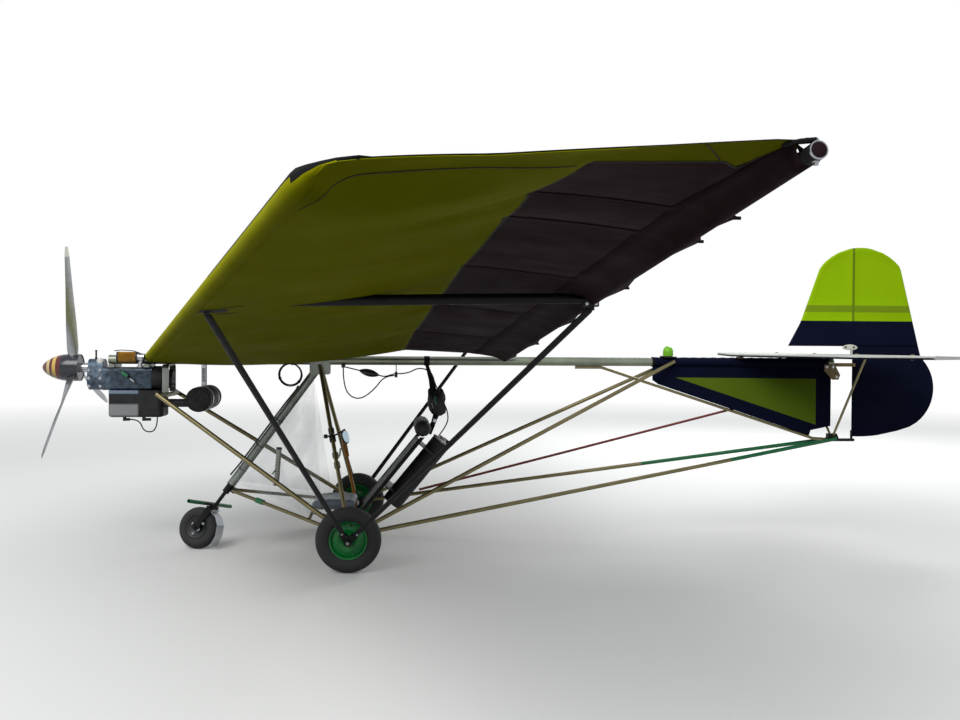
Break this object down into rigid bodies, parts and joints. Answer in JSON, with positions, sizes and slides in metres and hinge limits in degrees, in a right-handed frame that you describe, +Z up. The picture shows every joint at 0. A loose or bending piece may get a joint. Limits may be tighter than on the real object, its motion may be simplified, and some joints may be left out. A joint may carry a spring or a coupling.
{
  "type": "ultralight aircraft",
  "caption": "Tractor ultralight aircraft: swept fabric wing on struts over an open tube cage, nose engine with propeller, tricycle gear, boom tail",
  "frame": {"origin": "on the ground, under the middle of the bounding box", "axes": "+X aft, +Y to starboard, along the span, +Z up"},
  "size_m": [5.865, 8.7346, 1.9803],
  "materials": {
    "keel_aluminium": "drawn, hazed",
    "tube_bronze": "anodised olive",
    "fitting_black": "satin black",
    "sail_cloth": "coated sailcloth, lime and near-black panels",
    "tail_cloth": "coated sailcloth, navy and lime panels",
    "wheel_green": "gloss green",
    "wheel_grey": "dark grey",
    "tyre_rubber": "black",
    "engine_cast": "cast, blue-grey",
    "engine_black": "heat-proof black",
    "bright_steel": "bright",
    "blade_silver": "silver with white tips",
    "spinner_paint": "maroon and cream stripes",
    "seat_black": "black coated cloth",
    "tank_black": "black, white cap",
    "rod_red": "dull red",
    "bracket_tan": "tan",
    "stick_orange": "orange brown, black grip",
    "clear_sheet": "clear vinyl",
    "hose_black": "black rubber and silicone",
    "beacon_lime": "lime on black base"
  },
  "bodies": {
    "airframe": {"axle": "keel_aluminium", "axle_fittings": "fitting_black", "beacon": "beacon_lime", "bellcrank": "bracket_tan", "cable_coil": "hose_black", "cage_bracket": "keel_aluminium", "carburettor": "engine_cast", "control_stick": "stick_orange", "cooling_shroud": "engine_black", "down_tube": "keel_aluminium", "drum_hanger": "bright_steel", "engine_case": "engine_cast", "engine_mount": "engine_cast", "fan_and_starter": "engine_black", "fin_tube": "tube_bronze", "frame_tubes": "tube_bronze", "fuel_hose": "hose_black", "fuel_tank": "tank_black", "gearbox": "engine_cast", "headrest_roll": "seat_black", "hose_fittings": "fitting_black", "ignition_lead": "hose_black", "keel_tube": "keel_aluminium", "lift_struts": "fitting_black", "loop_hose": "hose_black", "plug_caps": "hose_black", "push_rod": "rod_red", "sail_lower": "sail_cloth", "sail_port": "sail_cloth", "sail_starboard": "sail_cloth", "seat_back": "seat_black", "seat_frame": "fitting_black", "seat_pan": "seat_black", "seat_rails": "tube_bronze", "silencer": "engine_black", "spreader_bars": "fitting_black", "stab_struts": "tube_bronze", "stabiliser": "tail_cloth", "steering_head": "fitting_black", "strut_shoes": "fitting_black", "tail_hinges": "fitting_black", "tail_joint": "fitting_black", "tank_cradle": "fitting_black", "ventral_fin": "tail_cloth", "windshield": "clear_sheet", "wing_spars": "tube_bronze"},
    "propeller": {"prop_blades": "blade_silver", "prop_hub": "bright_steel", "spinner": "spinner_paint"},
    "wheel_port": {"wheel_rim_port": "wheel_green", "tyre_port": "tyre_rubber"},
    "wheel_starboard": {"wheel_rim_starboard": "wheel_green", "tyre_starboard": "tyre_rubber"},
    "steering_fork": {"nose_fork": "fitting_black", "foot_bar": "wheel_green", "scrub_flap": "keel_aluminium"},
    "nose_wheel": {"nose_rim": "wheel_grey", "nose_tyre": "tyre_rubber"},
    "elevator": {"elevator": "tail_cloth"},
    "rudder": {"rudder": "tail_cloth"}
  },
  "joints": [
    {"name": "propeller_spin", "type": "hinge", "parent": "airframe", "child": "propeller", "pos_m": [-2.7358, 0, 1.1495], "axis": [1, 0, 0], "continuous": true},
    {"name": "wheel_port_spin", "type": "hinge", "parent": "airframe", "child": "wheel_port", "pos_m": [-0.982, -0.745, 0.1883], "axis": [0, 1, 0], "continuous": true},
    {"name": "wheel_starboard_spin", "type": "hinge", "parent": "airframe", "child": "wheel_starboard", "pos_m": [-0.982, 0.745, 0.1883], "axis": [0, 1, 0], "continuous": true},
    {"name": "nose_steer", "type": "hinge", "parent": "airframe", "child": "steering_fork", "pos_m": [-1.76, 0, 0.407], "axis": [0.5906, 0, 0.807], "range_deg": [-8.6, 51.4]},
    {"name": "nose_wheel_spin", "type": "hinge", "parent": "steering_fork", "child": "nose_wheel", "pos_m": [-1.96318, 0, 0.1294], "axis": [-0.2944, -0.9311, 0.2155], "continuous": true},
    {"name": "elevator_hinge", "type": "hinge", "parent": "airframe", "child": "elevator", "pos_m": [2.236, 0, 1.2495], "axis": [0, 1, 0], "range_deg": [-20, 20]},
    {"name": "rudder_hinge", "type": "hinge", "parent": "airframe", "child": "rudder", "pos_m": [2.36, 0, 0.9], "axis": [0, 0, 1], "range_deg": [-25, 25]}
  ]
}
